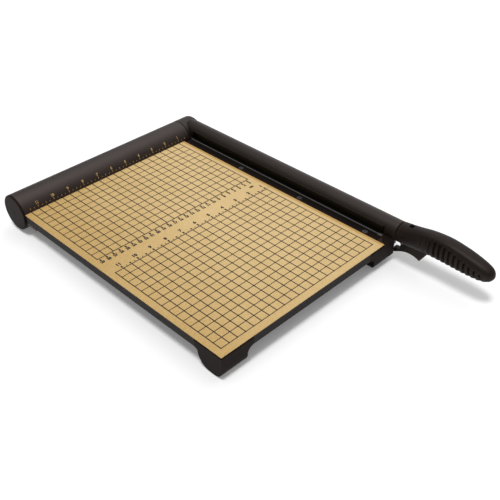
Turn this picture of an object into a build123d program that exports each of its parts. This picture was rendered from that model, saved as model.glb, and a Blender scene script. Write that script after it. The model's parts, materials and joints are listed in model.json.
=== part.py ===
"""Guillotine paper trimmer: printed board, bed knife, round backstop and a hinged cutting arm.

Lengths are millimetres. Places are given from the point where the cutting edge meets the backstop at the
board's top: x to the right of the cutting edge, y back from the stop line, z up from the board's top.
The model's own origin is on the table, midway along the machine's width and depth.
"""
from math import atan2, cos, degrees, hypot, pi, radians, sin, sqrt
import os

from build123d import *

# Shared fits
overrun = 2.0
seat_clearance = 0.15
screw_clearance = 0.1
running_clearance = 0.05
press_clearance = 0.02

# Board and its printed sheet
board_width = 302.0
board_length = 392.0
board_thickness = 12.7
board_height = 36.0
top_thickness = 0.8
board_tenon = 11.5
tenon_inset = 11.0
shear_setback = 1.0

# Bed knife
knife_width = 15.0
knife_thickness = 4.0
knife_rear_gap = 2.2
edge_width = 2.0
edge_depth = 7.0
end_block_length = 6.0
end_block_width = 4.0
end_block_height = 1.2
end_block_chamfer = 0.4
knife_screw_count = 3
knife_screw_first = 123.0
knife_screw_margin = 36.0
knife_screw_inset = 9.5

# Backstop housing
stop_radius = 26.0
stop_wall = 3.0
stop_sole_rise = 4.0
pivot_back = 25.2
pivot_drop = 6.5
housing_end_gap = 3.2
flange_reach = 22.0
flange_thickness = 3.0
flange_screw_count = 4
flange_screw_inset = 30.0
flange_screw_back = 12.0
cap_thickness = 3.0
cap_plug_depth = 8.0
cap_plug_wall = 3.0
cap_rounding = 2.0
cap_post_radius = 5.0

# Pivot: shaft, bearings, spring and what draws the arm home
shaft_radius = 6.0
shaft_chamfer = 0.8
shaft_seat_depth = 20.0
bush_wall = 2.0
block_thickness = 10.0
block_clearance = 0.3
outer_block_inset = 3.0
block_spread = 94.0
block_screw_length = 11.0
spring_radius = 11.0
spring_wire_radius = 1.5
spring_pitch = 4.2
spring_turns = 10
spring_leg = 14.0
spring_offset = 14.0
peg_radius = 2.5
peg_gap = 0.2
peg_height = 10.0
collar_radius = 11.0
collar_lug_width = 8.0
collar_thickness = 8.0
collar_gap = 6.0
set_screw_radius = 2.0
thrust_gap = 0.3
thrust_washer_radius = 11.0
thrust_washer_thickness = 1.6
wave_washer_radius = 10.0
wave_washer_thickness = 1.2
nut_flats = 19.0
nut_thickness = 8.0
shaft_tail = 2.0

# Cutting arm
head_gap = 2.0
head_rounding = 6.0
arm_radius = 13.7
arm_centre_x = 14.5
arm_centre_z = 7.5
arm_root_y = 12.0
arm_overhang = 3.0
arm_channel_width = 11.0
arm_channel_top = 2.0
arm_channel_back = 30.0
arm_channel_end = 23.0
tang_width = 10.0
tang_height = 10.0
tang_base = 4.0
tang_length = 57.0

# Blade
blade_thickness = 2.0
blade_gap = 0.1
blade_setback = 15.0
blade_back = 6.0
blade_top = 14.0
blade_front_drop = 14.0
blade_middle_drop = 26.0
blade_back_drop = 16.0
blade_bevel_height = 4.0
blade_bevel_depth = 1.4
blade_screw_count = 5
blade_screw_first = 40.0
blade_screw_margin = 17.0
blade_screw_head_radius = 4.0
blade_screw_head_height = 3.5
blade_screw_recess = 4.2

# Handle grips
grip_gap = 1.5
grip_length = 136.5
grip_width = 27.2
grip_height = 34.0
grip_rise = 5.5
grip_slot_width = 6.0
grip_slot_length = 6.5
grip_slot_start = 14.5
grip_slot_depth = 4.0
groove_count = 14
groove_start = 35.5
groove_margin = 7.4
groove_width = 3.4
groove_depth = 1.5
groove_fade_count = 4
grip_hollow_width = 16.0
grip_hollow_height = 16.0
grip_hollow_rounding = 4.0
grip_hollow_start = 64.5
grip_hollow_margin = 38.0
tang_screw_starts = (20.5, 49.5)
tip_screw_margin = 28.0
grip_screw_height = 9.0
grip_screw_head_radius = 3.5
grip_screw_head_height = 3.0
grip_screw_recess = 4.5
grip_screw_cover = 6.0

# Latch: lever, pin and the catch that its hook goes under
latch_start = 7.5
latch_drop = 1.5
latch_swing = 12.0
lever_thickness = 6.4
lever_hub_radius = 5.0
lever_front = 38.0
lever_depth = 22.0
lever_lip = 3.5
latch_pin_radius = 2.5
latch_pin_length = 19.0
latch_slot_side_gap = 1.2
latch_slot_end_gap = 2.5
latch_slot_roof_gap = 0.4
latch_slot_heel_gap = 0.35
latch_washer_radius = 4.5
latch_washer_thickness = 0.8
hook_gap = 0.4
hook_bite = 2.8
hook_thickness = 4.0
hook_shank = 4.0
catch_wall = 2.0
catch_length = 7.5
catch_top_drop = 6.0
catch_bottom_drop = 29.6
tongue_setback = 6.0
tongue_length = 6.0
tongue_reach = 20.0
tongue_drop = 18.6
tongue_thickness = 4.0
bumper_radius = 3.4
bumper_gap = 0.3
catch_screw_spacing = 5.2
catch_screw_drop = 23.9
catch_screw_length = 8.0
catch_screw_radius = 1.5
catch_screw_head_radius = 2.5
catch_screw_head_height = 1.8

# Feet and pads
foot_wall = 3.0
left_foot_width = 50.0
right_foot_width = 42.0
foot_length = 45.0
foot_top_drop = 3.0
foot_front_radius = 13.0
foot_rear_radius = 20.0
foot_flat = 7.0
foot_side_radius = 10.0
corner_post_reach = 13.4
corner_post_bow = 1.2
corner_post_rise = 0.5
corner_post_gap = 0.3
toe_reach = 9.5
toe_rounding = 1.5
toe_arm_gap = 0.5
toe_heel_inset = 4.9
toe_heel_length = 8.6
toe_sole_start = 6.9
toe_sole_rise = 6.0
pad_inset = 13.0
pad_radius = 6.0
pad_thickness = 2.0
pad_recess = 1.0
rear_pad_length = 40.0
rear_pad_width = 7.0
rear_pad_inset = 20.0
foot_screw_spacing = 14.0
foot_screw_back = 12.0
foot_screw_access = 0.6

# Wood screws and machine screws
wood_screw_radius = 2.0
wood_screw_head_radius = 3.8
wood_screw_head_height = 2.2
wood_screw_length = 9.0
drive_slot_width = 1.0
drive_slot_depth = 1.0

# Places that follow from those sizes
pad_proud = pad_thickness - pad_recess
arm_reach = arm_centre_x + arm_radius
stop_depth = pivot_back + stop_radius
arm_length = board_length + arm_overhang
arm_channel_front = arm_length - arm_channel_end
blade_front = board_length - blade_setback
tongue_front = board_length - tongue_setback
tongue_back = tongue_front - tongue_length
grip_start = arm_length + grip_gap
grip_reach = grip_start + grip_length
grip_slot_reach = grip_start + grip_slot_start
groove_first = grip_start + groove_start
groove_pitch = (grip_length - groove_start - groove_margin) / (groove_count - 1)
grip_hollow_length = grip_length - grip_hollow_start - grip_hollow_margin
grip_hollow_reach = grip_start + grip_hollow_start + grip_hollow_length / 2
grip_screw_reaches = [grip_start + start for start in tang_screw_starts]
grip_screw_reaches.append(grip_reach - tip_screw_margin)
cut_x = (board_width + cap_thickness - arm_reach) / 2
line_y = (grip_reach - stop_depth) / 2
top_z = board_height
floor_z = -board_height
sole_z = floor_z + pad_proud
stop_sole_z = floor_z + stop_sole_rise
rear_pad_thickness = stop_sole_rise + pad_recess
pivot_z = -pivot_drop
core_top = -top_thickness
housing_left = -board_width
housing_right = -housing_end_gap
stop_bore = stop_radius - stop_wall
outer_block_left = housing_right - outer_block_inset - block_thickness
inner_block_left = outer_block_left - block_spread
shaft_end = (inner_block_left - thrust_gap - thrust_washer_thickness - wave_washer_thickness
             - nut_thickness - shaft_tail)
collar_left = inner_block_left + block_thickness + collar_gap
spring_start = outer_block_left - spring_offset
spring_end = spring_start - spring_pitch * spring_turns
peg_back = spring_radius + spring_wire_radius + peg_gap + peg_radius
blade_seat = blade_gap + blade_thickness
arm_bottom = arm_centre_z - arm_radius
post_right = -shear_setback
toe_right = post_right + toe_reach
catch_left = toe_right - catch_wall
foot_y = -board_length
toe_back = foot_y + corner_post_reach
toe_heel = toe_back + toe_heel_length
knife_front = toe_back + corner_post_gap
latch_y = -(grip_start + latch_start)
latch_z = -latch_drop
latch_heel = lever_hub_radius + (latch_z - arm_bottom) * sin(radians(latch_swing)) + latch_slot_heel_gap
grip_crown = arm_centre_z + grip_rise + grip_height / 2

# The handle's sections: share of its length, of the rise of its centre, of its width and of its height
grip_section_shares = (
    (0.0, 0.0, 0.979, 0.806),
    (0.16, 0.4, 0.98, 0.865),
    (0.32, 0.86, 0.99, 0.95),
    (0.5, 1.0, 1.0, 1.0),
    (0.66, 0.7, 0.98, 0.95),
    (0.8, 0.35, 0.92, 0.84),
    (0.9, 0.12, 0.81, 0.7),
    (0.965, 0.05, 0.58, 0.48),
    (1.0, 0.0, 0.18, 0.15),
)
grip_corner_share = 0.96

# How far up the handle's side the first and the last groove reach, as shares of half its height
groove_first_top_share = 0.82
groove_last_top_share = 0.0


# Which way a fastener's body runs from its plane
above = (Align.CENTER, Align.CENTER, Align.MIN)
below = (Align.CENTER, Align.CENTER, Align.MAX)


def at(x, y, z):
    """Row position of a place given from the cutting edge, the stop line and the board's top."""
    return (cut_x + x, line_y + y, top_z + z)


def across(x, y=0, z=0):
    """Sketch plane facing right, with y and z as its own axes."""
    return Plane(origin=at(x, y, z), x_dir=(0, 1, 0), z_dir=(1, 0, 0))


def along(y):
    """Sketch plane facing the front, with x and z as its own axes."""
    return Plane(origin=at(0, y, 0), x_dir=(1, 0, 0), z_dir=(0, -1, 0))


def level(z):
    """Sketch plane facing up, with x and y as its own axes."""
    return Plane(origin=at(0, 0, z), x_dir=(1, 0, 0), z_dir=(0, 0, 1))


def facing(x, y, z, direction):
    """Plane at a place, for a fastener whose head looks along direction."""
    return Plane(origin=at(x, y, z), z_dir=direction)


def span(low_u, high_u, low_v, high_v, mode=Mode.ADD):
    """Rectangle between two corners of the sketch."""
    with Locations(((low_u + high_u) / 2, (low_v + high_v) / 2)):
        Rectangle(high_u - low_u, high_v - low_v, mode=mode)


def ring(outer_radius, inner_radius, thickness, x, label):
    """Plain ring about the pivot's axis, running left from x."""
    with BuildPart() as body:
        with BuildSketch(across(x - thickness)):
            with Locations((pivot_back, pivot_z)):
                Circle(outer_radius)
                Circle(inner_radius, mode=Mode.SUBTRACT)
        extrude(amount=thickness)
    body.part.label = label
    return body.part


def countersunk_screws(places, length, label):
    """Slotted countersunk screws, heads flush with their planes."""
    with BuildPart() as body:
        with Locations(*places):
            Cylinder(wood_screw_radius, length, align=below)
            Cone(wood_screw_radius, wood_screw_head_radius, wood_screw_head_height, align=below)
            Box(2 * wood_screw_head_radius, drive_slot_width, drive_slot_depth, align=below,
                mode=Mode.SUBTRACT)
    body.part.label = label
    return body.part


def countersinks(places, length):
    """Holes for countersunk screws, cut from the part being built."""
    with Locations(*places):
        Cylinder(wood_screw_radius + screw_clearance, length + screw_clearance, align=below,
                 mode=Mode.SUBTRACT)
        Cone(wood_screw_radius + screw_clearance, wood_screw_head_radius + screw_clearance,
             wood_screw_head_height, align=below, mode=Mode.SUBTRACT)


def cap_screws(places, radius, head_radius, head_height, length, label):
    """Round-headed screws; each plane lies under the head, and the drive is a slot."""
    with BuildPart() as body:
        with Locations(*places):
            Cylinder(radius, length, align=below)
            Cylinder(head_radius, head_height, align=above)
        with Locations(*[place.offset(head_height) for place in places]):
            Box(2 * head_radius, drive_slot_width, drive_slot_depth, align=below, mode=Mode.SUBTRACT)
    body.part.label = label
    return body.part


def corner_post_outline(growth):
    """Corner post of the right foot seen from above, with its bowed inner side, grown all round."""
    with BuildSketch() as outline:
        with BuildLine():
            bow = SagittaArc((post_right, foot_y + corner_post_reach),
                             (post_right - corner_post_reach, foot_y), -corner_post_bow)
            Polyline(bow @ 1, (post_right, foot_y), bow @ 0)
        make_face()
        offset(amount=growth)
    return outline.sketch


corner_post = corner_post_outline(0)
corner_post_notch = corner_post_outline(corner_post_gap)

# Where the fasteners go
knife_screw_pitch = (board_length - knife_screw_margin - knife_screw_first) / (knife_screw_count - 1)
knife_screw_places = [
    facing(-knife_screw_inset, -(knife_screw_first + knife_screw_pitch * index), 0, (0, 0, 1))
    for index in range(knife_screw_count)
]
flange_bottom = -(board_thickness + seat_clearance + flange_thickness)
flange_pitch = (board_width - 2 * flange_screw_inset) / (flange_screw_count - 1)
flange_screw_places = [
    facing(-(flange_screw_inset + flange_pitch * index), -flange_screw_back, flange_bottom, (0, 0, -1))
    for index in range(flange_screw_count)
]
block_screw_places = [
    facing(left + block_thickness / 2, pivot_back + stop_radius, pivot_z, (0, 1, 0))
    for left in (inner_block_left, outer_block_left)
]
cap_screw_place = facing(housing_left - cap_thickness, pivot_back, pivot_z, (-1, 0, 0))
blade_screw_seat = arm_reach - blade_screw_recess
blade_screw_pitch = (blade_front - blade_screw_margin - blade_screw_first) / (blade_screw_count - 1)
blade_screw_places = [
    facing(blade_screw_seat, -(blade_screw_first + blade_screw_pitch * index), arm_centre_z, (1, 0, 0))
    for index in range(blade_screw_count)
]
grip_screw_seat = arm_centre_x + grip_width / 2 - grip_screw_recess
grip_screw_places = [
    facing(grip_screw_seat, -reach, grip_screw_height, (1, 0, 0)) for reach in grip_screw_reaches
]
rear_pad_lefts = (housing_left + rear_pad_inset, housing_right - rear_pad_inset - rear_pad_length)
pad_y = foot_y + foot_front_radius + foot_flat / 2
pad_centres = [(-board_width + pad_inset, pad_y), (post_right - pad_inset, pad_y)]
foot_screw_seat = -(board_thickness + foot_wall)
foot_screw_places = [
    facing(x + side * foot_screw_spacing / 2, y + foot_screw_back, foot_screw_seat, (0, 0, -1))
    for x, y in pad_centres
    for side in (-1, 1)
]
catch_screw_places = [
    facing(toe_right, -tongue_back - catch_length / 2,
           -catch_screw_drop + side * catch_screw_spacing / 2, (1, 0, 0))
    for side in (-1, 1)
]

# Base board: cut back for the bed knife, the feet's walls and the corner post
with BuildPart() as base_board:
    with BuildSketch(level(-board_thickness)):
        span(-board_width, -knife_width, -board_length, 0)
        span(-knife_width, -shear_setback, -board_length, -knife_rear_gap)
        span(-board_width + tenon_inset, -knife_width, 0, board_tenon)
    extrude(amount=board_thickness - top_thickness)
    with BuildSketch(level(-knife_thickness)):
        span(-knife_width, overrun, knife_front, board_tenon + overrun)
    extrude(amount=knife_thickness, mode=Mode.SUBTRACT)
    with BuildSketch(level(-edge_depth - seat_clearance)):
        span(-edge_width - seat_clearance, overrun, knife_front, board_tenon + overrun)
    extrude(amount=edge_depth, mode=Mode.SUBTRACT)
    with BuildSketch(level(-board_thickness)):
        span(-board_width - overrun, -board_width + foot_wall, foot_y - overrun, foot_y + foot_length)
        span(-board_width - overrun, -board_width + left_foot_width, foot_y - overrun, foot_y + foot_wall)
        span(post_right - right_foot_width, overrun, foot_y - overrun, foot_y + foot_wall)
        add(corner_post_notch)
    extrude(amount=board_thickness, mode=Mode.SUBTRACT)
    countersinks(knife_screw_places, wood_screw_length)
    countersinks(flange_screw_places, wood_screw_length)
    countersinks(foot_screw_places, wood_screw_length)
base_board.part.label = "base_board"

# Printed sheet on the board
with BuildPart() as board_top:
    with BuildSketch(level(core_top)):
        span(-board_width, -knife_width, -board_length, 0)
        span(-board_width + tenon_inset, -knife_width, 0, board_tenon)
    extrude(amount=top_thickness)
board_top.part.label = "board_top"

# Bed knife bar beside the sheet, with its ground edge as a strip along the cut
with BuildPart() as bed_knife:
    with BuildSketch(level(-knife_thickness)):
        span(-knife_width, -edge_width, knife_front, -knife_rear_gap)
    extrude(amount=knife_thickness)
    countersinks(knife_screw_places, wood_screw_length)
bed_knife.part.label = "bed_knife"

with BuildPart() as knife_edge:
    with BuildSketch(level(-edge_depth)):
        span(-edge_width, 0, knife_front, -knife_rear_gap)
    extrude(amount=edge_depth)
knife_edge.part.label = "knife_edge"

with BuildPart() as knife_end_block:
    with BuildSketch(level(0)):
        span(-end_block_width, 0, knife_front, knife_front + end_block_length)
    extrude(amount=end_block_height)
    chamfer(knife_end_block.edges().group_by(Axis.Z)[-1], end_block_chamfer)
knife_end_block.part.label = "knife_end_block"

bed_knife_screws = countersunk_screws(knife_screw_places, wood_screw_length, "bed_knife_screws")

# Backstop housing: round tube, flat in front, open where the board slides in, with a flange below it
with BuildPart() as backstop_housing:
    with BuildSketch(across(housing_left)):
        with Locations((pivot_back, pivot_z)):
            Circle(stop_radius)
        span(-stop_radius, 0, floor_z - overrun, stop_radius, mode=Mode.SUBTRACT)
        span(-stop_radius, 2 * stop_depth, floor_z - stop_radius, stop_sole_z, mode=Mode.SUBTRACT)
        with Locations((pivot_back, pivot_z)):
            Circle(stop_bore, mode=Mode.SUBTRACT)
        span(-overrun, board_tenon, -board_thickness - seat_clearance, seat_clearance, mode=Mode.SUBTRACT)
        span(-flange_reach, stop_wall, flange_bottom, flange_bottom + flange_thickness)
    extrude(amount=housing_right - housing_left)
    with BuildSketch(level(stop_sole_z)):
        for x in rear_pad_lefts:
            span(x, x + rear_pad_length, pivot_back - rear_pad_width / 2, pivot_back + rear_pad_width / 2)
    extrude(amount=pad_recess, mode=Mode.SUBTRACT)
    countersinks(flange_screw_places, wood_screw_length)
    countersinks(block_screw_places, block_screw_length)
backstop_housing.part.label = "backstop_housing"

flange_screws = countersunk_screws(flange_screw_places, wood_screw_length, "flange_screws")
block_screws = countersunk_screws(block_screw_places, block_screw_length, "block_screws")

# Left end cap, with a rim that plugs the tube and a post for its screw
with BuildPart() as backstop_end_cap:
    with BuildSketch(across(housing_left - cap_thickness)):
        with Locations((pivot_back, pivot_z)):
            Circle(stop_radius)
        span(-stop_radius, 0, floor_z - overrun, stop_radius, mode=Mode.SUBTRACT)
        span(-stop_radius, 2 * stop_depth, floor_z - stop_radius, stop_sole_z, mode=Mode.SUBTRACT)
    extrude(amount=cap_thickness)
    fillet(backstop_end_cap.faces().sort_by(Axis.X)[0].edges(), cap_rounding)
    with BuildSketch(across(housing_left)):
        with Locations((pivot_back, pivot_z)):
            Circle(stop_bore - seat_clearance)
            Circle(stop_bore - seat_clearance - cap_plug_wall, mode=Mode.SUBTRACT)
            Circle(cap_post_radius)
        span(-stop_radius, board_tenon, -board_thickness - foot_wall, foot_wall, mode=Mode.SUBTRACT)
    extrude(amount=cap_plug_depth)
    countersinks([cap_screw_place], cap_thickness + cap_plug_depth - stop_wall)
backstop_end_cap.part.label = "backstop_end_cap"

end_cap_screw = countersunk_screws(
    [cap_screw_place], cap_thickness + cap_plug_depth - stop_wall, "end_cap_screw")


def bearing_block(left, label, peg_length):
    """Disc in the tube that carries a bush; a peg on its left face can hold the spring's leg."""
    with BuildPart() as body:
        with BuildSketch(across(left)):
            with Locations((pivot_back, pivot_z)):
                Circle(stop_bore - block_clearance)
                Circle(shaft_radius + running_clearance + bush_wall + press_clearance, mode=Mode.SUBTRACT)
            span(-stop_radius, board_tenon + seat_clearance, -board_thickness - flange_thickness,
                 stop_wall, mode=Mode.SUBTRACT)
        extrude(amount=block_thickness)
        if peg_length:
            with BuildSketch(across(left)):
                with Locations((pivot_back + peg_back, pivot_z - peg_height)):
                    Circle(peg_radius)
            extrude(amount=-peg_length)
        countersinks(block_screw_places, block_screw_length)
    body.part.label = label
    return body.part


outer_bearing_block = bearing_block(
    outer_block_left, "outer_bearing_block", spring_offset + 2 * spring_wire_radius)
inner_bearing_block = bearing_block(inner_block_left, "inner_bearing_block", 0)
bush_bore = shaft_radius + running_clearance
outer_bush = ring(bush_bore + bush_wall, bush_bore, block_thickness,
                  outer_block_left + block_thickness, "outer_bush")
inner_bush = ring(bush_bore + bush_wall, bush_bore, block_thickness,
                  inner_block_left + block_thickness, "inner_bush")

# Torsion spring: a helix about the pivot's axis with a straight leg at each end
def coil_point(turn):
    """Point of the spring's centre line after a number of turns."""
    angle = 2 * pi * turn
    return Vector(*at(spring_start - spring_pitch * turn, pivot_back + spring_radius * cos(angle),
                      pivot_z + spring_radius * sin(angle)))


def coil_direction(turn):
    """Direction of the spring's centre line there."""
    angle = 2 * pi * turn
    return Vector(-spring_pitch / (2 * pi), -spring_radius * sin(angle),
                  spring_radius * cos(angle)).normalized()


def biarc_joint(start, start_way, end, end_way):
    """Point where two arcs of equal tangent length meet between two given ends."""
    chord = end - start
    ways = start_way + end_way
    slack = 4 - ways.dot(ways)
    reach = (sqrt(chord.dot(ways) ** 2 + slack * chord.dot(chord)) - chord.dot(ways)) / slack
    return (start + end + (start_way - end_way) * reach) * 0.5


quarter_turns = 4 * spring_turns
with BuildPart() as torsion_spring:
    with BuildLine() as coil_line:
        Line(coil_point(0) - coil_direction(0) * spring_leg, coil_point(0))
        for quarter in range(quarter_turns):
            first, last = quarter / 4, (quarter + 1) / 4
            joint = biarc_joint(coil_point(first), coil_direction(first),
                                coil_point(last), coil_direction(last))
            opening_arc = TangentArc(coil_point(first), joint, tangent=coil_direction(first))
            TangentArc(joint, coil_point(last), tangent=opening_arc % 1)
        Line(coil_point(spring_turns), coil_point(spring_turns) + coil_direction(spring_turns) * spring_leg)
    with BuildSketch(Plane(origin=coil_line.line @ 0, z_dir=coil_line.line % 0)):
        Circle(spring_wire_radius)
    sweep(path=coil_line.line)
torsion_spring.part.label = "torsion_spring"

samples_per_turn = 24
samples = [coil_point(index / samples_per_turn) for index in range(samples_per_turn * spring_turns + 1)]
least_gap = min(
    (samples[low] - samples[high]).length - 2 * spring_wire_radius
    for low in range(len(samples))
    for high in range(low + samples_per_turn // 2, len(samples))
)
print(f"torsion spring: least gap between turns {least_gap:.2f} mm")

# Shaft with the pieces fixed on it
with BuildPart() as pivot_shaft:
    with BuildSketch(across(shaft_end)):
        with Locations((pivot_back, pivot_z)):
            Circle(shaft_radius)
    extrude(amount=shaft_seat_depth - shaft_end)
    chamfer(pivot_shaft.edges().filter_by(GeomType.CIRCLE), shaft_chamfer)
pivot_shaft.part.label = "pivot_shaft"

with BuildPart() as spring_collar:
    with BuildSketch(across(collar_left)):
        with Locations((pivot_back, pivot_z)):
            Circle(collar_radius)
        with Locations((pivot_back + peg_back / 2, pivot_z + peg_height / 2)):
            SlotCenterToCenter(hypot(peg_back, peg_height), collar_lug_width,
                               rotation=degrees(atan2(peg_height, peg_back)))
        with Locations((pivot_back, pivot_z)):
            Circle(shaft_radius + press_clearance, mode=Mode.SUBTRACT)
    extrude(amount=collar_thickness)
    with BuildSketch(across(collar_left + collar_thickness)):
        with Locations((pivot_back + peg_back, pivot_z + peg_height)):
            Circle(peg_radius)
    extrude(amount=spring_end + 2 * spring_wire_radius - collar_left - collar_thickness)
    with Locations(facing(collar_left + collar_thickness / 2, pivot_back, pivot_z, (0, 0, 1))):
        Cylinder(set_screw_radius + screw_clearance, collar_radius + overrun, align=above,
                 mode=Mode.SUBTRACT)
spring_collar.part.label = "spring_collar"

with BuildPart() as collar_set_screw:
    with Locations(facing(collar_left + collar_thickness / 2, pivot_back,
                          pivot_z + shaft_radius + press_clearance, (0, 0, 1))):
        Cylinder(set_screw_radius, collar_radius - shaft_radius - drive_slot_depth, align=above)
collar_set_screw.part.label = "collar_set_screw"

washer_right = inner_block_left - thrust_gap
thrust_washer = ring(thrust_washer_radius, shaft_radius + screw_clearance, thrust_washer_thickness,
                     washer_right, "thrust_washer")
wave_washer = ring(wave_washer_radius, shaft_radius + screw_clearance, wave_washer_thickness,
                   washer_right - thrust_washer_thickness, "wave_washer")
with BuildPart() as shaft_nut:
    with BuildSketch(across(washer_right - thrust_washer_thickness - wave_washer_thickness - nut_thickness)):
        with Locations((pivot_back, pivot_z)):
            RegularPolygon(nut_flats / 2, side_count=6, major_radius=False)
            Circle(shaft_radius + press_clearance, mode=Mode.SUBTRACT)
    extrude(amount=nut_thickness)
shaft_nut.part.label = "shaft_nut"

# Cutting arm: round head on the pivot, round bar forward, flat where the blade sits
with BuildPart() as cutting_arm:
    with BuildSketch(across(-head_gap)):
        with Locations((pivot_back, pivot_z)):
            Circle(stop_radius)
    extrude(amount=arm_reach + head_gap)
    fillet(cutting_arm.faces().sort_by(Axis.X)[-1].edges(), head_rounding)
    with BuildSketch(along(arm_root_y)):
        with Locations((arm_centre_x, arm_centre_z)):
            Circle(arm_radius)
    extrude(amount=arm_root_y + arm_length)
    with Locations(at(arm_centre_x, arm_root_y, arm_centre_z)):
        Sphere(arm_radius)
    with BuildSketch(level(arm_bottom - overrun)):
        span(-arm_radius, blade_seat, -arm_length - overrun, -blade_back + overrun)
    extrude(amount=2 * arm_radius + 2 * overrun, mode=Mode.SUBTRACT)
    with BuildSketch(level(arm_bottom - overrun)):
        span(arm_centre_x - arm_channel_width / 2, arm_centre_x + arm_channel_width / 2,
             -arm_channel_front, -arm_channel_back)
    extrude(amount=arm_channel_top - arm_bottom + overrun, mode=Mode.SUBTRACT)
    with BuildSketch(along(-arm_length)):
        span(arm_centre_x - tang_width / 2, arm_centre_x + tang_width / 2,
             tang_base, tang_base + tang_height)
    extrude(amount=tang_length)
    with BuildSketch(across(-head_gap)):
        with Locations((pivot_back, pivot_z)):
            Circle(shaft_radius + press_clearance)
    extrude(amount=head_gap + shaft_seat_depth, mode=Mode.SUBTRACT)
    with Locations(*blade_screw_places):
        Cylinder(wood_screw_radius + screw_clearance, arm_reach, align=below, mode=Mode.SUBTRACT)
        Cylinder(blade_screw_head_radius + screw_clearance, arm_radius, align=above, mode=Mode.SUBTRACT)
    with Locations(*grip_screw_places):
        Cylinder(wood_screw_radius + screw_clearance, grip_width, align=below, mode=Mode.SUBTRACT)
cutting_arm.part.label = "cutting_arm"

# Blade: bowed lower edge, ground on its outer side
with BuildPart() as cutting_blade:
    with BuildSketch(across(blade_gap)):
        with BuildLine():
            bow = ThreePointArc((-blade_front, -blade_front_drop),
                                (-(blade_front + blade_back) / 2, -blade_middle_drop),
                                (-blade_back, -blade_back_drop))
            Polyline(bow @ 1, (-blade_back, blade_top), (-blade_front, blade_top), bow @ 0)
        make_face()
    extrude(amount=blade_thickness)
    ground_edge = cutting_blade.faces().sort_by(Axis.X)[-1].edges().filter_by(GeomType.CIRCLE)
    chamfer(ground_edge, blade_bevel_depth, blade_bevel_height)
    with Locations(*blade_screw_places):
        Cylinder(wood_screw_radius + screw_clearance, arm_reach + overrun, align=below,
                 mode=Mode.SUBTRACT)
cutting_blade.part.label = "cutting_blade"

blade_screws = cap_screws(blade_screw_places, wood_screw_radius, blade_screw_head_radius,
                          blade_screw_head_height, blade_screw_seat - 2 * blade_gap, "blade_screws")


def grip_section_at(reach):
    """Handle's centre height, width and height at a distance from the stop line."""
    share = (reach - grip_start) / grip_length
    for low, high in zip(grip_section_shares, grip_section_shares[1:]):
        if share <= high[0]:
            break
    blend = (share - low[0]) / (high[0] - low[0])
    rise, width, height = [start + blend * (end - start) for start, end in zip(low[1:], high[1:])]
    return arm_centre_z + rise * grip_rise, width * grip_width, height * grip_height


# Handle: a swelling grip with grooves round its sides and underside, hollow where the tang and latch go
with BuildPart() as handle:
    for length_share, rise_share, width_share, height_share in grip_section_shares:
        width, height = width_share * grip_width, height_share * grip_height
        with BuildSketch(along(-grip_start - length_share * grip_length)):
            with Locations((arm_centre_x, arm_centre_z + rise_share * grip_rise)):
                RectangleRounded(width, height, grip_corner_share * min(width, height) / 2)
    loft()
    for index in range(groove_count):
        groove_reach = groove_first + groove_pitch * index
        centre, width, height = grip_section_at(groove_reach)
        depth = groove_depth * min(1, (index + 1) / groove_fade_count)
        top_share = (groove_first_top_share
                     + (groove_last_top_share - groove_first_top_share) * index / (groove_count - 1))
        core_width, core_height = width - 2 * depth, height - 2 * depth
        with BuildSketch(along(groove_width / 2 - groove_reach)):
            with Locations((arm_centre_x, centre)):
                Rectangle(2 * grip_width, 2 * grip_height)
                RectangleRounded(core_width, core_height,
                                 grip_corner_share * min(core_width, core_height) / 2, mode=Mode.SUBTRACT)
            span(arm_centre_x - grip_width, arm_centre_x + grip_width,
                 centre + top_share * height / 2, centre + grip_height, mode=Mode.SUBTRACT)
        extrude(amount=groove_width, mode=Mode.SUBTRACT)
    with BuildSketch(level(grip_crown)):
        span(arm_centre_x - grip_slot_width / 2, arm_centre_x + grip_slot_width / 2,
             -grip_slot_reach - grip_slot_length / 2, -grip_slot_reach + grip_slot_length / 2)
    extrude(amount=arm_centre_z + arm_radius - grip_slot_depth - grip_crown, mode=Mode.SUBTRACT)
    with BuildSketch(along(-grip_start + overrun)):
        span(arm_centre_x - tang_width / 2 - seat_clearance, arm_centre_x + tang_width / 2 + seat_clearance,
             tang_base - seat_clearance, tang_base + tang_height + seat_clearance)
    extrude(amount=overrun + tang_length - grip_gap + seat_clearance, mode=Mode.SUBTRACT)
    with BuildSketch(across(arm_centre_x - lever_thickness / 2 - latch_slot_side_gap)):
        span(latch_y - lever_front - latch_slot_end_gap, latch_y + latch_heel,
             arm_bottom - overrun, latch_z + lever_hub_radius + latch_slot_roof_gap)
    extrude(amount=lever_thickness + 2 * latch_slot_side_gap, mode=Mode.SUBTRACT)
    with BuildSketch(across(arm_centre_x - grip_hollow_width / 2)):
        with Locations((-grip_hollow_reach, grip_screw_height)):
            RectangleRounded(grip_hollow_length, grip_hollow_height, grip_hollow_rounding)
    extrude(amount=grip_hollow_width, mode=Mode.SUBTRACT)
    with BuildSketch(across(arm_centre_x - latch_pin_length / 2)):
        with Locations((latch_y, latch_z)):
            Circle(latch_pin_radius + press_clearance)
    extrude(amount=latch_pin_length, mode=Mode.SUBTRACT)
    with Locations(*grip_screw_places):
        Cylinder(wood_screw_radius + screw_clearance, grip_width - grip_screw_cover, align=below,
                 mode=Mode.SUBTRACT)
        Cylinder(grip_screw_head_radius + screw_clearance, grip_width, align=above, mode=Mode.SUBTRACT)

with BuildPart() as left_grip:
    add(handle.part)
    split(bisect_by=across(arm_centre_x), keep=Keep.BOTTOM)
left_grip.part.label = "left_grip"

with BuildPart() as right_grip:
    add(handle.part)
    split(bisect_by=across(arm_centre_x), keep=Keep.TOP)
right_grip.part.label = "right_grip"

grip_screws = cap_screws(grip_screw_places, wood_screw_radius, grip_screw_head_radius,
                         grip_screw_head_height,
                         grip_width - grip_screw_recess - grip_screw_cover, "grip_screws")

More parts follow.
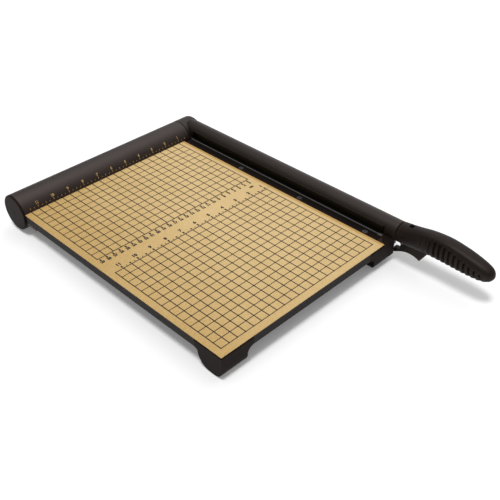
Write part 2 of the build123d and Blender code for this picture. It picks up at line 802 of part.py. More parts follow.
# Latch lever: fin below the handle, with a hook at its inner end
lever_heel_shares = (0.22, -0.98)
lever_belly_shares = (-0.27, -0.736)
lever_tip_shares = (-0.676, -0.9)


def on_lever(shares):
    """Place on the lever, from its pin, given as shares of its front length and its depth."""
    return (shares[0] * lever_front, shares[1] * lever_depth)


def swung_free(y, z):
    """Place on the free lever, from the pin, of a point given where the hook is locked."""
    turn = radians(latch_swing)
    back, up = y - latch_y, z - latch_z
    return (back * cos(turn) + up * sin(turn), up * cos(turn) - back * sin(turn))


nose_top = -tongue_drop - hook_gap
nose_back = -tongue_front + hook_bite
throat_y = -tongue_front - hook_gap
hook_outline = [
    swung_free(throat_y, nose_top + hook_shank),
    swung_free(throat_y, nose_top),
    swung_free(nose_back, nose_top),
    swung_free(nose_back, nose_top - hook_thickness),
]
with BuildPart() as latch_lever:
    with BuildSketch(across(arm_centre_x - lever_thickness / 2, latch_y, latch_z)):
        with BuildLine():
            belly = ThreePointArc(
                on_lever(lever_heel_shares), on_lever(lever_belly_shares), on_lever(lever_tip_shares))
            bar_start = (lever_hub_radius, hook_outline[0][1] + hook_gap)
            Polyline(belly @ 1, (-lever_front, 0), (-lever_front, lever_lip), (0, lever_hub_radius),
                     (lever_hub_radius, 0), bar_start, *hook_outline, belly @ 0)
        make_face()
    extrude(amount=lever_thickness)
    with BuildSketch(across(arm_centre_x - lever_thickness / 2)):
        with Locations((latch_y, latch_z)):
            Circle(latch_pin_radius + running_clearance)
    extrude(amount=lever_thickness, mode=Mode.SUBTRACT)
latch_lever.part.label = "latch_lever"

with BuildPart() as latch_pin:
    with BuildSketch(across(arm_centre_x - latch_pin_length / 2)):
        with Locations((latch_y, latch_z)):
            Circle(latch_pin_radius)
    extrude(amount=latch_pin_length)
latch_pin.part.label = "latch_pin"

latch_washer_x = arm_centre_x + lever_thickness / 2 + (latch_slot_side_gap - latch_washer_thickness) / 2
with BuildPart() as latch_washer:
    with BuildSketch(across(latch_washer_x)):
        with Locations((latch_y, latch_z)):
            Circle(latch_washer_radius)
            Circle(latch_pin_radius + running_clearance, mode=Mode.SUBTRACT)
    extrude(amount=latch_washer_thickness)
latch_washer.part.label = "latch_washer"

# Catch let into the right foot's side, with the bumper that the arm comes down on
with BuildPart() as latch_catch:
    with BuildSketch(across(catch_left)):
        span(-tongue_back - catch_length, -tongue_back, -catch_bottom_drop, -catch_top_drop)
    extrude(amount=catch_wall)
    with BuildSketch(across(catch_left)):
        span(-tongue_front, -tongue_back, -tongue_drop, -tongue_drop + tongue_thickness)
    extrude(amount=tongue_reach - catch_left)
    with Locations(*catch_screw_places):
        Cylinder(catch_screw_radius + screw_clearance, catch_screw_length, mode=Mode.SUBTRACT)
latch_catch.part.label = "latch_catch"

with BuildPart() as arm_bumper:
    with BuildSketch(level(-tongue_drop + tongue_thickness)):
        with Locations((arm_centre_x, -(tongue_front + tongue_back) / 2)):
            Circle(bumper_radius)
    extrude(amount=arm_bottom - bumper_gap + tongue_drop - tongue_thickness)
arm_bumper.part.label = "arm_bumper"

catch_screws = cap_screws(catch_screw_places, catch_screw_radius, catch_screw_head_radius,
                          catch_screw_head_height, catch_screw_length, "catch_screws")


# Toe of the right foot: its front carried past the cut and hollowed to clear the arm's front end
with BuildPart() as arm_toe:
    with BuildSketch(across(post_right - overrun)):
        with BuildLine():
            toe_front = RadiusArc((foot_y, sole_z + foot_front_radius),
                                  (foot_y + foot_front_radius, sole_z), -foot_front_radius)
            Polyline(toe_front @ 1, (toe_heel, sole_z), (toe_heel, corner_post_rise),
                     (foot_y, corner_post_rise), toe_front @ 0)
        make_face()
    extrude(amount=overrun + toe_reach)
    with BuildSketch(level(sole_z)) as toe_plan:
        span(post_right, toe_right, foot_y, toe_back)
        front_corners = toe_plan.vertices().sort_by(Axis.Y)[:2]
        fillet(front_corners.sort_by(Axis.X)[-1], toe_rounding)
        span(post_right + toe_heel_inset, toe_right, toe_back - overrun, toe_heel)
        span(catch_left, toe_right + overrun, -tongue_back - catch_length - seat_clearance,
             -tongue_back + seat_clearance, mode=Mode.SUBTRACT)
    extrude(amount=board_height, mode=Mode.INTERSECT)
    with BuildSketch(along(toe_heel + overrun)):
        with Locations((arm_centre_x, arm_centre_z)):
            Circle(arm_radius + toe_arm_gap)
    extrude(amount=toe_heel - foot_y + 2 * overrun, mode=Mode.SUBTRACT)


def corner_foot(outer, inward, foot_width, label):
    """Foot under a front corner; inward is 1 where the foot runs right from its outer side, else -1."""
    heel_y = foot_y + foot_front_radius + foot_flat + foot_rear_radius
    with BuildPart() as body:
        with BuildSketch(across(outer)):
            with BuildLine():
                toe = RadiusArc((foot_y, sole_z + foot_front_radius),
                                (foot_y + foot_front_radius, sole_z), -foot_front_radius)
                sole = Line(toe @ 1, (foot_y + foot_front_radius + foot_flat, sole_z))
                heel = RadiusArc(sole @ 1, (heel_y, sole_z + foot_rear_radius), -foot_rear_radius)
                Polyline(heel @ 1, (foot_y + foot_length, -board_thickness),
                         (foot_y + foot_length, -foot_top_drop), (foot_y, -foot_top_drop), toe @ 0)
            make_face()
        extrude(amount=inward * foot_width)
        with BuildSketch(along(foot_y)):
            with BuildLine():
                side_start = outer + inward * (foot_width - 2 * foot_side_radius)
                side_middle = outer + inward * (foot_width - foot_side_radius)
                side_end = outer + inward * foot_width
                swell = RadiusArc((side_start, sole_z), (side_middle, sole_z + foot_side_radius),
                                  -inward * foot_side_radius)
                rise = Line(swell @ 1, (side_middle, -board_thickness - foot_side_radius))
                flare = RadiusArc(rise @ 1, (side_end, -board_thickness), inward * foot_side_radius)
                Polyline(flare @ 1, (side_end, -foot_top_drop), (outer, -foot_top_drop),
                         (outer, sole_z), swell @ 0)
            make_face()
        extrude(amount=-foot_length, mode=Mode.INTERSECT)
        wall = foot_wall if inward > 0 else -overrun
        with BuildSketch(level(-board_thickness)):
            span(*sorted((outer + inward * wall, side_end + inward * overrun)),
                 foot_y + foot_wall, foot_y + foot_length + overrun)
        extrude(amount=board_thickness, mode=Mode.SUBTRACT)
        if inward < 0:
            with BuildSketch(level(-board_thickness)):
                add(corner_post)
            extrude(amount=board_thickness + corner_post_rise)
            add(arm_toe.part)
            with BuildSketch(along(foot_y + foot_length)):
                with BuildLine():
                    sweep_up = TangentArc((post_right - toe_sole_start, sole_z),
                                          (toe_right, sole_z + toe_sole_rise), tangent=(1, 0))
                    Polyline(sweep_up @ 1, (toe_right + overrun, sole_z + toe_sole_rise),
                             (toe_right + overrun, sole_z - overrun),
                             (post_right - toe_sole_start, sole_z - overrun), sweep_up @ 0)
                make_face()
            extrude(amount=foot_length + overrun, mode=Mode.SUBTRACT)
            with Locations(*catch_screw_places):
                Cylinder(catch_screw_radius + screw_clearance, catch_screw_length + screw_clearance,
                         align=below, mode=Mode.SUBTRACT)
        with BuildSketch(level(sole_z)):
            with Locations(*pad_centres):
                Circle(pad_radius)
        extrude(amount=pad_recess, mode=Mode.SUBTRACT)
        countersinks(foot_screw_places, wood_screw_length)
        with Locations(*foot_screw_places):
            Cylinder(wood_screw_head_radius + foot_screw_access, board_height, align=above,
                     mode=Mode.SUBTRACT)
    body.part.label = label
    return body.part


# Front feet: walls that cover the board's edge, over rounded blocks; the right one has a corner post
front_left_foot = corner_foot(-board_width, 1, left_foot_width, "front_left_foot")
front_right_foot = corner_foot(post_right, -1, right_foot_width, "front_right_foot")
foot_screws = countersunk_screws(foot_screw_places, wood_screw_length, "foot_screws")

with BuildPart() as front_pads:
    with BuildSketch(level(floor_z)):
        with Locations(*pad_centres):
            Circle(pad_radius - press_clearance)
    extrude(amount=pad_thickness)
front_pads.part.label = "front_pads"

with BuildPart() as rear_pads:
    with BuildSketch(level(floor_z)):
        for x in rear_pad_lefts:
            span(x, x + rear_pad_length, pivot_back - rear_pad_width / 2, pivot_back + rear_pad_width / 2)
    extrude(amount=rear_pad_thickness)
rear_pads.part.label = "rear_pads"

pieces = [
    base_board.part, board_top.part, bed_knife.part, knife_edge.part, knife_end_block.part,
    bed_knife_screws, backstop_housing.part, flange_screws, block_screws, backstop_end_cap.part,
    end_cap_screw, outer_bearing_block, inner_bearing_block, outer_bush, inner_bush,
    torsion_spring.part, pivot_shaft.part, spring_collar.part, collar_set_screw.part, thrust_washer,
    wave_washer, shaft_nut.part, cutting_arm.part, cutting_blade.part, blade_screws, left_grip.part,
    right_grip.part, grip_screws, latch_lever.part, latch_pin.part, latch_washer.part, latch_catch.part,
    arm_bumper.part, catch_screws, front_left_foot, front_right_foot, foot_screws, front_pads.part,
    rear_pads.part,
]
os.makedirs("parts", exist_ok=True)
for piece in pieces:
    export_step(piece, f"parts/{piece.label}.step")
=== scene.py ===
"""Prints, handle, finishes and studio of a guillotine paper trimmer, made round its packed solids."""

import json
from math import asin, cos, exp, pi, radians, sin, sqrt

import bmesh
import bpy
from bpy.props import FloatProperty, FloatVectorProperty, IntProperty, PointerProperty
from mathutils import Matrix, Vector


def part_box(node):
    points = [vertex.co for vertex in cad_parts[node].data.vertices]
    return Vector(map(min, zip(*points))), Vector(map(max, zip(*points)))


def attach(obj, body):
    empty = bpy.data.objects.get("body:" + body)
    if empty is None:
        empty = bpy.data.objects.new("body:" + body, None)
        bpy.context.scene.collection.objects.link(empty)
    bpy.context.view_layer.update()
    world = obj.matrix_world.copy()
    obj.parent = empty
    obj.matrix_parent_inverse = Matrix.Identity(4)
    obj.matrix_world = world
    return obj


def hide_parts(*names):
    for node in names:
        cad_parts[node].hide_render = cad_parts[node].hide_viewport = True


bl_info = {
    "name": "Paper Trimmer Finish",
    "version": (1, 0, 0),
    "blender": (4, 5, 0),
    "location": "View3D > Sidebar > Trimmer",
    "description": "Prints, handle, finishes and studio of a guillotine paper trimmer",
    "category": "Object",
}

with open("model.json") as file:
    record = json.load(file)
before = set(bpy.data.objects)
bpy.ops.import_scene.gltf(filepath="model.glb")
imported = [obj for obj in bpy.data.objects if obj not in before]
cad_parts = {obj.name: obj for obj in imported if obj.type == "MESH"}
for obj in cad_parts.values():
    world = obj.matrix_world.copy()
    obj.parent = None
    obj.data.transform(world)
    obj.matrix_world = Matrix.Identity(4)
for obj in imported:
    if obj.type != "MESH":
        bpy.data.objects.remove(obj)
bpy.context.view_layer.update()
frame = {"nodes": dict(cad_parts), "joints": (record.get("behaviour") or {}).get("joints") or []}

MM = 0.001
INCH = 25.4 * MM
CENTIMETRE = 10 * MM

# Places that every print is set out from: the cutting edge, the stop line and the board's top
EDGE_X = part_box("knife_edge")[1].x
STOP_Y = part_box("backstop_end_cap")[0].y
BOARD_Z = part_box("board_top")[1].z
SHEET_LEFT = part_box("board_top")[0].x
SHEET_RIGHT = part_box("board_top")[1].x

# The backstop's round section, about the arm's pivot
PIVOT = next(Vector(joint["pos_m"]) for joint in frame["joints"] if joint["name"] == "arm_pivot")
STOP_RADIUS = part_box("backstop_housing")[1].z - PIVOT.z

# The handle's two halves meet on the arm's centre plane
PARTING_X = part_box("left_grip")[1].x
HANDLE_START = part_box("left_grip")[1].y
HANDLE_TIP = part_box("left_grip")[0].y
HANDLE_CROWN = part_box("left_grip")[1].z


def length(name, description, default):
    """A size in metres for a settings group."""
    return FloatProperty(name=name, description=description, default=default, min=0, unit="LENGTH",
                         precision=5)


def colour(name, description, default):
    """A linear colour for a settings group."""
    return FloatVectorProperty(name=name, description=description, default=default, min=0, max=1,
                               size=3, subtype="COLOR")


def share(name, description, default, most=1):
    """A plain number from nought upwards for a settings group."""
    return FloatProperty(name=name, description=description, default=default, min=0, max=most, precision=4)


def whole_number(name, description, default):
    """A count for a settings group."""
    return IntProperty(name=name, description=description, default=default, min=1)


def angle(name, description, default):
    """A turn in degrees for a settings group."""
    return FloatProperty(name=name, description=description, default=radians(default), subtype="ANGLE")


class PrintSettings(bpy.types.PropertyGroup):
    """Sizes of what is printed on the board and on the backstop."""

    cell: length("Cell", "Side of one square of the grid", INCH / 2)
    line_width: length("Line Width", "Width of a grid line that runs front to back", 1.4 * MM)
    cross_line_width: length("Cross Line Width", "Width of a grid line that runs across", 1.15 * MM)
    ink_height: length("Ink Height", "How far ink stands above the sheet", 0.06 * MM)
    band_back: length("Band Back", "Stop line to the ruler band's back line", 6 * INCH)
    band_front: length("Band Front", "Stop line to the ruler band's front line", 7.5 * INCH)
    grid_back: length("Grid Back", "Stop line to the grid's back end", 0.5 * MM)
    grid_front: length("Grid Front", "Stop line to the grid's front line", 15 * INCH)
    grid_left: length("Grid Left", "Cutting edge to the grid's left line", 11.5 * INCH)
    grid_right: length("Grid Right", "Cutting edge to the grid's right line", INCH)
    inches: whole_number("Inches", "Highest figure of the inch rulers", 11)
    centimetre_first: whole_number("First Centimetre", "Lowest figure of the centimetre ruler", 3)
    centimetre_last: whole_number("Last Centimetre", "Highest figure of the centimetre ruler", 29)
    fringe: length("Fringe", "Length of the fine ticks along the ruler's lines", 1.5 * MM)
    fringe_start: length("Fringe Start", "Cutting edge to the inch ruler's first fine tick", 0.75 * INCH)
    fringe_width: length("Fringe Width", "Width of the inch ruler's fine ticks", 0.45 * MM)
    small_fringe_start: length("Small Fringe Start", "Cutting edge to the centimetre ruler's first fine tick",
                               26 * MM)
    small_fringe_width: length("Small Fringe Width", "Width of the centimetre ruler's fine ticks", 0.3 * MM)
    tick_start: length("Tick Start", "Ruler's line to the start of the bold ticks", 1.8 * MM)
    tick_width: length("Tick Width", "Width of the bold ticks", 2.3 * MM)
    inch_tick: length("Inch Tick", "Length of the bold inch tick", 4.2 * MM)
    half_tick: length("Half Tick", "Length of the bold half-inch tick", 2.9 * MM)
    quarter_tick: length("Quarter Tick", "Length of the quarter-inch tick", 1.5 * MM)
    quarter_width: length("Quarter Width", "Width of the quarter-inch tick", 1.38 * MM)
    centimetre_tick: length("Centimetre Tick", "Length of the bold centimetre tick", 4.4 * MM)
    figure_height: length("Figure Height", "Height of the board ruler's figures", 5.2 * MM)
    figure_rise: length("Figure Rise", "Ruler's line to the middle of the inch figures", 10.9 * MM)
    small_figure_height: length("Small Figure Height", "Height of the centimetre figures", 4.2 * MM)
    small_figure_rise: length("Small Figure Rise", "Ruler's line to the middle of the centimetre figures",
                              9.2 * MM)
    unit_drop: length("Unit Drop", "Ruler's line to the middle of the unit's name", 18 * MM)
    unit_inset: length("Unit Inset", "Cutting edge to the middle of the unit's name", 36 * MM)
    stop_tick_rise: length("Stop Tick Rise", "Board to the foot of the backstop's ticks", 3.4 * MM)
    stop_tick: length("Stop Tick", "Length of the backstop's shortest tick", 1.4 * MM)
    stop_tick_width: length("Stop Tick Width", "Width of the backstop's ticks", 0.8 * MM)
    stop_half_share: share("Stop Half Share", "Length of its half-inch tick to that of the shortest", 1.6, 10)
    stop_inch_tick: length("Stop Inch Tick", "Length of the backstop's inch tick", 3.08 * MM)
    stop_figure_height: length("Stop Figure Height", "Height of the backstop's figures", 3.6 * MM)
    stop_figure_rise: length("Stop Figure Rise", "Foot of the ticks to the middle of the figures", 6.28 * MM)
    stop_ink_height: length("Stop Ink Height", "How far ink stands above the backstop", 0.16 * MM)


class HandleSettings(bpy.types.PropertyGroup):
    """Sizes of the handle's grips."""

    axis_rise: length("Axis Rise", "Board's top to the handle's middle line", 7.5 * MM)
    half_width: length("Half Width", "Half of the handle's greatest width", 13.6 * MM)
    half_height: length("Half Height", "Half of the handle's greatest height", 16.9 * MM)
    rise: length("Rise", "How far the swell lifts the handle's middle line", 5.5 * MM)
    shoulder: share("Shoulder", "Height of the ridge along the shoulder, as a share of the radius", 0.062)
    groove_count: whole_number("Grooves", "Number of grip grooves", 14)
    groove_first: length("First Groove", "Handle's start to the first groove", 35.5 * MM)
    groove_pitch: length("Groove Pitch", "Distance between grooves", 7.2 * MM)
    groove_width: length("Groove Width", "Width of a groove", 4.2 * MM)
    groove_depth: length("Groove Depth", "Depth of a groove", 3.8 * MM)
    parting: length("Parting", "Gap between the two halves", 0.12 * MM)
    slot_start: length("Slot Start", "Handle's start to the middle of its top slot", 14.5 * MM)
    slot_length: length("Slot Length", "Length of the top slot", 6.5 * MM)
    slot_width: length("Slot Width", "Width of the top slot", 6 * MM)
    slot_floor: length("Slot Floor", "Middle line to the floor of the top slot", 9.7 * MM)
    latch_gap: length("Latch Gap", "Room beside the latch lever, and wall left behind its slot", 1.2 * MM)
    latch_front_gap: length("Latch Front Gap", "Room in front of the latch lever", 2.5 * MM)
    latch_roof: length("Latch Roof", "Roof of the latch's slot to the middle line", 3.6 * MM)
    cutter_reach: length("Cutter Reach", "How far the cuts run out of the handle", 30 * MM)
    recess_depth: length("Recess Depth", "Depth of the screw recesses", 2.9 * MM)
    recess_gap: length("Recess Gap", "Room round a screw's head", 0.3 * MM)


class FinishSettings(bpy.types.PropertyGroup):
    """Colours of the trimmer's finishes."""

    sheet: colour("Sheet", "Tan of the board's top sheet", (0.672, 0.482, 0.224))
    # The mottle's darker tan is also the dark end of the light and shade painted across the sheet
    sheet_dark: colour("Sheet Mottle", "Darker tan of its mottle", (0.405, 0.238, 0.050))
    margin: colour("Margin", "Orange of the sheet's right margin", (0.47, 0.26, 0.06))
    ink: colour("Ink", "Brown black of the board's print", (0.022, 0.014, 0.010))
    gold: colour("Gold", "Gold of the backstop's print", (0.46, 0.29, 0.11))
    coat: colour("Coat", "Black coat of the arm and the backstop", (0.0135, 0.0092, 0.0080))
    plastic: colour("Plastic", "Black moulded plastic", (0.0110, 0.0072, 0.0060))
    core: colour("Core", "Bare fibreboard", (0.024, 0.012, 0.007))
    edge: colour("Edge", "Black paint on the board's edges", (0.0140, 0.0105, 0.0095))
    steel: colour("Steel", "Bright steel", (0.60, 0.59, 0.57))
    blued: colour("Blued", "Blued steel of the blade and its screws", (0.030, 0.028, 0.027))
    bronze: colour("Bronze", "Bearing bronze", (0.50, 0.29, 0.11))
    rubber: colour("Rubber", "Black rubber", (0.018, 0.018, 0.018))


class SheetSettings(bpy.types.PropertyGroup):
    """Shading of the board's tan sheet."""

    fleck_size: length("Fleck Size", "Size of the fine fleck", 1.3 * MM)
    fleck_share: share("Fleck Share", "How much the fleck lightens", 0.42)
    cloud_size: length("Cloud Size", "Size of the broad clouds", 70 * MM)
    cloud_share: share("Cloud Share", "How much the clouds lighten", 0.3)
    # The fade and the front's darkening are painted light and shade: the sheet is drawn darker and warmer at
    # its left and back, and darker at its front
    fade: length("Fade", "Distance over which the sheet grows paler from its left", 260 * MM)
    fade_lean: share("Fade Lean", "How far that fade leans to the front", 0.28)
    fade_share: share("Fade Share", "How much that fade lightens", 0.54)
    front_start: length("Front Start", "Stop line to where the front starts to darken", 220 * MM)
    front_end: length("Front End", "Stop line to where the front is darkest", 400 * MM)
    front_share: share("Front Share", "How much the front darkens", 0.17)
    margin_width: length("Margin Width", "Width of the orange margin", 3.6 * MM)
    margin_blur: length("Margin Blur", "Width of the margin's soft edge", 0.6 * MM)
    margin_share: share("Margin Share", "Strength of the margin's orange", 0.75)


class StageSettings(bpy.types.PropertyGroup):
    """Camera, lamps and floor."""

    camera_place: FloatVectorProperty(name="Camera", description="Where the camera stands", size=3,
                                      default=(-0.5600, -0.6059, 0.6335), subtype="TRANSLATION",
                                      unit="LENGTH")
    azimuth: angle("Azimuth", "Turn of the view about the vertical", -44.209)
    elevation: angle("Elevation", "Height of the view above the horizon", 36.9)
    roll: angle("Roll", "Turn of the picture", -0.971)
    lens: FloatProperty(name="Lens", description="Focal length in millimetres", default=56.095, min=1)
    sensor: FloatProperty(name="Sensor", description="Width of the sensor in millimetres", default=36, min=1)
    key_light: share("Key Light", "Light that the overhead lamp gives a level surface", 0.58, 10)
    key_spread: angle("Key Spread", "Width of the overhead lamp", 17)
    key_pitch: angle("Key Pitch", "Lean of the overhead lamp to the front", 3)
    key_sway: angle("Key Sway", "Lean of the overhead lamp to the right", -12)
    fill_light: share("Fill Light", "Brightness of the surroundings", 0.56, 10)
    horizon_share: share("Horizon Share", "Share of that brightness at the horizon", 0.12)
    zenith_share: share("Zenith Share", "Share of that brightness that is added overhead", 0.8)
    zenith_rise: FloatVectorProperty(name="Zenith Rise", description="Heights between which it is added",
                                     size=2, default=(0.05, 0.95))
    side_light: share("Side Light", "Brightness of the broad soft light at the upper right", 0.80, 10)
    side_place: FloatVectorProperty(name="Side Place", description="Which way the soft light stands", size=3,
                                    default=(0.56, 0.14, 0.82), subtype="DIRECTION")
    rim_light: share("Rim Light", "Brightness of the low soft light behind on the right", 0.9, 10)
    rim_place: FloatVectorProperty(name="Rim Place", description="Which way the low soft light stands",
                                   size=3, default=(0.83, 0.52, 0.2), subtype="DIRECTION")
    side_reach: share("Side Reach", "Cosine of the soft lights' half width", 0.80)
    floor: share("Floor", "White of the floor", 0.86)
    floor_reach: length("Floor Reach", "Middle of the floor to its sides", 6)
    floor_lift: share("Floor Lift", "White that the floor adds to what the camera sees", 0.16)


class Socket:
    """A node's output that takes part in plain expressions."""

    def __init__(self, tree, output):
        self.tree = tree
        self.output = output

    def __getitem__(self, name):
        return Socket(self.tree, self.output.node.outputs[name])

    def maths(self, operation, first, second=0):
        return self.tree.node("ShaderNodeMath", {"operation": operation}, {0: first, 1: second})

    def __add__(self, other):
        return self.maths("ADD", self, other)

    def __radd__(self, other):
        return self.maths("ADD", other, self)

    def __sub__(self, other):
        return self.maths("SUBTRACT", self, other)

    def __rsub__(self, other):
        return self.maths("SUBTRACT", other, self)

    def __mul__(self, other):
        return self.maths("MULTIPLY", self, other)

    def __rmul__(self, other):
        return self.maths("MULTIPLY", other, self)

    def __mod__(self, other):
        return self.maths("MODULO", self, other)

    def above(self, limit):
        return self.maths("GREATER_THAN", self, limit)

    def below(self, limit):
        return self.maths("LESS_THAN", self, limit)

    def eased(self, start, end):
        """0 below start and 1 above end, with a soft change between them."""
        return self.tree.node("ShaderNodeMapRange", {"interpolation_type": "SMOOTHSTEP"},
                              {"Value": self, "From Min": start, "From Max": end})


class Tree:
    """A node tree whose nodes are made one call at a time."""

    def __init__(self, tree):
        self.tree = tree

    def node(self, kind, settings=None, sockets=None, output=0):
        """A new node of a kind, its settings set first, then its sockets. Gives one of its outputs."""
        made = self.tree.nodes.new(kind)
        for name, value in (settings or {}).items():
            setattr(made, name, value)
        for name, value in (sockets or {}).items():
            self.put(made.inputs[name], value)
        return Socket(self, made.outputs[output])

    def put(self, target, value):
        """Links a socket to an input, or sets the input's own value."""
        if isinstance(value, Socket):
            self.tree.links.new(value.output, target)
        elif target.type == "RGBA":
            target.default_value = (*value[:3], 1)
        else:
            target.default_value = value

    def mixed(self, factor, first, second):
        """A colour between two, by a factor."""
        made = self.tree.nodes.new("ShaderNodeMix")
        made.data_type = "RGBA"
        for place, value in ((0, factor), (6, first), (7, second)):
            self.put(made.inputs[place], value)
        return Socket(self, made.outputs[2])


class Finish(Tree):
    """A material on one principled shader, with its patterns on object coordinates."""

    def __init__(self, name, **constants):
        self.material = bpy.data.materials.new(name)
        self.material.use_nodes = True
        super().__init__(self.material.node_tree)
        self.shader = self.tree.nodes["Principled BSDF"]
        self.place = self.node("ShaderNodeTexCoord", output="Object")
        for socket_name, value in constants.items():
            self.set(socket_name, value)

    def set(self, socket_name, value):
        """Sets or links one of the shader's sockets, named in lower case with underscores."""
        title = socket_name.replace("_", " ").title().replace("Ior", "IOR")
        self.put(self.shader.inputs[title], value)

    def noise(self, size, detail=3, stretch=(1, 1, 1), roughness=0.55):
        """Even noise from 0 to 1 with blots of about a size in metres, longer along a stretch."""
        place = self.node("ShaderNodeMapping", None, {
            "Vector": self.place, "Scale": [1 / part for part in stretch]})
        return self.node("ShaderNodeTexNoise", None, {
            "Vector": place, "Scale": 1 / size, "Detail": detail, "Roughness": roughness})

    def bumps(self, height, distance, strength):
        """Raises the surface by a height pattern."""
        self.set("normal", self.node("ShaderNodeBump", None, {
            "Height": height, "Distance": distance, "Strength": strength}))


def scaled(tone, factor):
    """A colour made lighter or darker."""
    return tuple(min(1, part * factor) for part in tone)


def sheet_finish(tones, sizes):
    """Tan hardboard with a fine fleck under a satin varnish, with painted light: darker and warmer at the left
    and back, paler to the right, and painted shade that darkens the front.
    """
    finish = Finish("printed_hardboard", specular_ior_level=0.35)
    fleck = finish.noise(sizes.fleck_size, detail=4)
    cloud = finish.noise(sizes.cloud_size, detail=2)
    spot = finish.node("ShaderNodeSeparateXYZ", None, {"Vector": finish.place})
    across = spot["X"]
    forward = STOP_Y - spot["Y"]
    # Painted light: the sheet grows paler away from its left and back and darker towards its front, in place of
    # how the lamps fall on it
    corner = (across - SHEET_LEFT) + forward * sizes.fade_lean
    tone_and_painted_light = (corner.eased(0, sizes.fade) * sizes.fade_share + cloud * sizes.cloud_share
                + fleck.eased(0.3, 0.7) * sizes.fleck_share
                - forward.eased(sizes.front_start, sizes.front_end) * sizes.front_share)
    base = finish.mixed(tone_and_painted_light, tones.sheet_dark, tones.sheet)
    margin_left = SHEET_RIGHT - sizes.margin_width
    margin = across.eased(margin_left - sizes.margin_blur, margin_left) * sizes.margin_share
    finish.set("base_color", finish.mixed(margin, base, tones.margin))
    finish.set("roughness", 0.42 + fleck * 0.16)
    finish.bumps(fleck, 0.03 * MM, 0.5)
    return finish.material


def ink_finish(name, tone, roughness):
    """Printed ink, a little uneven in tone and gloss."""
    finish = Finish(name, specular_ior_level=0.3)
    wear = finish.noise(1.6 * MM, detail=3)
    finish.set("base_color", finish.mixed(wear, scaled(tone, 0.75), scaled(tone, 1.3)))
    finish.set("roughness", roughness + wear * 0.2)
    return finish.material


def coat_finish(name, tone, roughness, grain, grain_depth, gloss):
    """Black coat or moulded plastic with a fine grain, in millimetres, and faint clouds under a warm gloss."""
    finish = Finish(name, specular_ior_level=gloss, specular_tint=(1, 0.84, 0.78))
    texture = finish.noise(grain * MM, detail=3)
    cloud = finish.noise(38 * MM, detail=3)
    worn = finish.mixed(cloud.eased(0.3, 0.75), scaled(tone, 0.8), scaled(tone, 1.25))
    finish.set("base_color", finish.mixed(texture.eased(0.45, 0.8), worn, scaled(tone, 1.9)))
    finish.set("roughness", roughness + cloud * 0.08 + texture * 0.08)
    finish.bumps(texture, grain_depth * MM, 0.6)
    return finish.material


def steel_finish(name, tone, roughness, stretch, shine):
    """Metal with fine grinding marks along one way, less of a mirror where its shine is below 1."""
    finish = Finish(name, metallic=shine)
    marks = finish.noise(0.25 * MM, detail=2, stretch=stretch)
    cloud = finish.noise(9 * MM, detail=3)
    finish.set("base_color", finish.mixed(marks * 0.6 + cloud * 0.4, scaled(tone, 0.62), scaled(tone, 1.12)))
    finish.set("roughness", roughness + marks * 0.14)
    finish.bumps(marks, 0.01 * MM, 0.4)
    return finish.material


def core_finish(tones):
    """Fibreboard, bare and brown where it faces up, painted black on its edges."""
    finish = Finish("fibreboard_core", specular_ior_level=0.16)
    fibre = finish.noise(0.7 * MM, detail=4, stretch=(1, 3, 1))
    cloud = finish.noise(30 * MM, detail=3)
    facing = finish.node("ShaderNodeTexCoord", output="Normal")
    upward = finish.node("ShaderNodeSeparateXYZ", None, {"Vector": facing})["Z"].above(0.5)
    bare = finish.mixed(fibre, scaled(tones.core, 0.6), scaled(tones.core, 1.5))
    paint = finish.mixed(cloud, scaled(tones.edge, 0.8), scaled(tones.edge, 1.3))
    finish.set("base_color", finish.mixed(upward, paint, bare))
    finish.set("roughness", 0.5 + fibre * 0.2)
    finish.bumps(fibre, 0.06 * MM, 0.5)
    return finish.material


# Black coats and plastics: name, tone, its share, roughness, grain and its depth in millimetres, gloss
COATS = {
    "coat": ("black_coat", "coat", 1, 0.44, 0.55, 0.05, 0.66),
    # Painted shade: the arm takes the backstop's black coat at a lower share, the same paint drawn darker on
    # the arm
    "arm": ("arm_coat", "coat", 0.6, 0.42, 0.55, 0.05, 0.5),
    "knife": ("knife_black", "coat", 0.45, 0.4, 0.5, 0.04, 0.12),
    "plastic": ("black_plastic", "plastic", 1, 0.46, 0.8, 0.05, 0.07),
    "grip": ("grip_plastic", "plastic", 1, 0.42, 0.8, 0.05, 0.2),
    "rubber": ("black_rubber", "rubber", 1, 0.66, 0.5, 0.04, 0.2),
}

# Metals: name, tone, its share, roughness, stretch of the grinding marks, shine
METALS = {
    "ground": ("ground_steel", "steel", 0.24, 0.3, (1, 40, 1), 0.3),
    "dull": ("dull_steel", "steel", 0.14, 0.34, (4, 4, 4), 0.4),
    "blued": ("blued_steel", "blued", 1, 0.3, (1, 30, 1), 1),
    "bright": ("plated_steel", "steel", 1, 0.26, (4, 4, 4), 1),
    "bronze": ("bearing_bronze", "bronze", 1, 0.3, (20, 1, 1), 1),
}

# Which finish each packed node takes
NODE_FINISHES = {
    "core": ("base_board",),
    "sheet": ("board_top",),
    "coat": ("backstop_housing",),
    "arm": ("cutting_arm",),
    "knife": ("bed_knife",),
    "plastic": ("backstop_end_cap", "end_cap_screw", "front_left_foot", "front_right_foot",
                "outer_bearing_block", "inner_bearing_block"),
    "grip": ("left_grip", "right_grip", "latch_lever"),
    "ground": ("knife_edge", "knife_end_block"),
    "dull": ("bed_knife_screws",),
    "blued": ("cutting_blade", "blade_screws", "latch_catch", "catch_screws"),
    "bright": ("flange_screws", "block_screws", "foot_screws", "collar_set_screw", "grip_screws", "shaft_nut",
               "pivot_shaft", "spring_collar", "thrust_washer", "wave_washer", "latch_pin", "latch_washer",
               "torsion_spring"),
    "bronze": ("outer_bush", "inner_bush"),
    "rubber": ("arm_bumper", "front_pads", "rear_pads"),
}


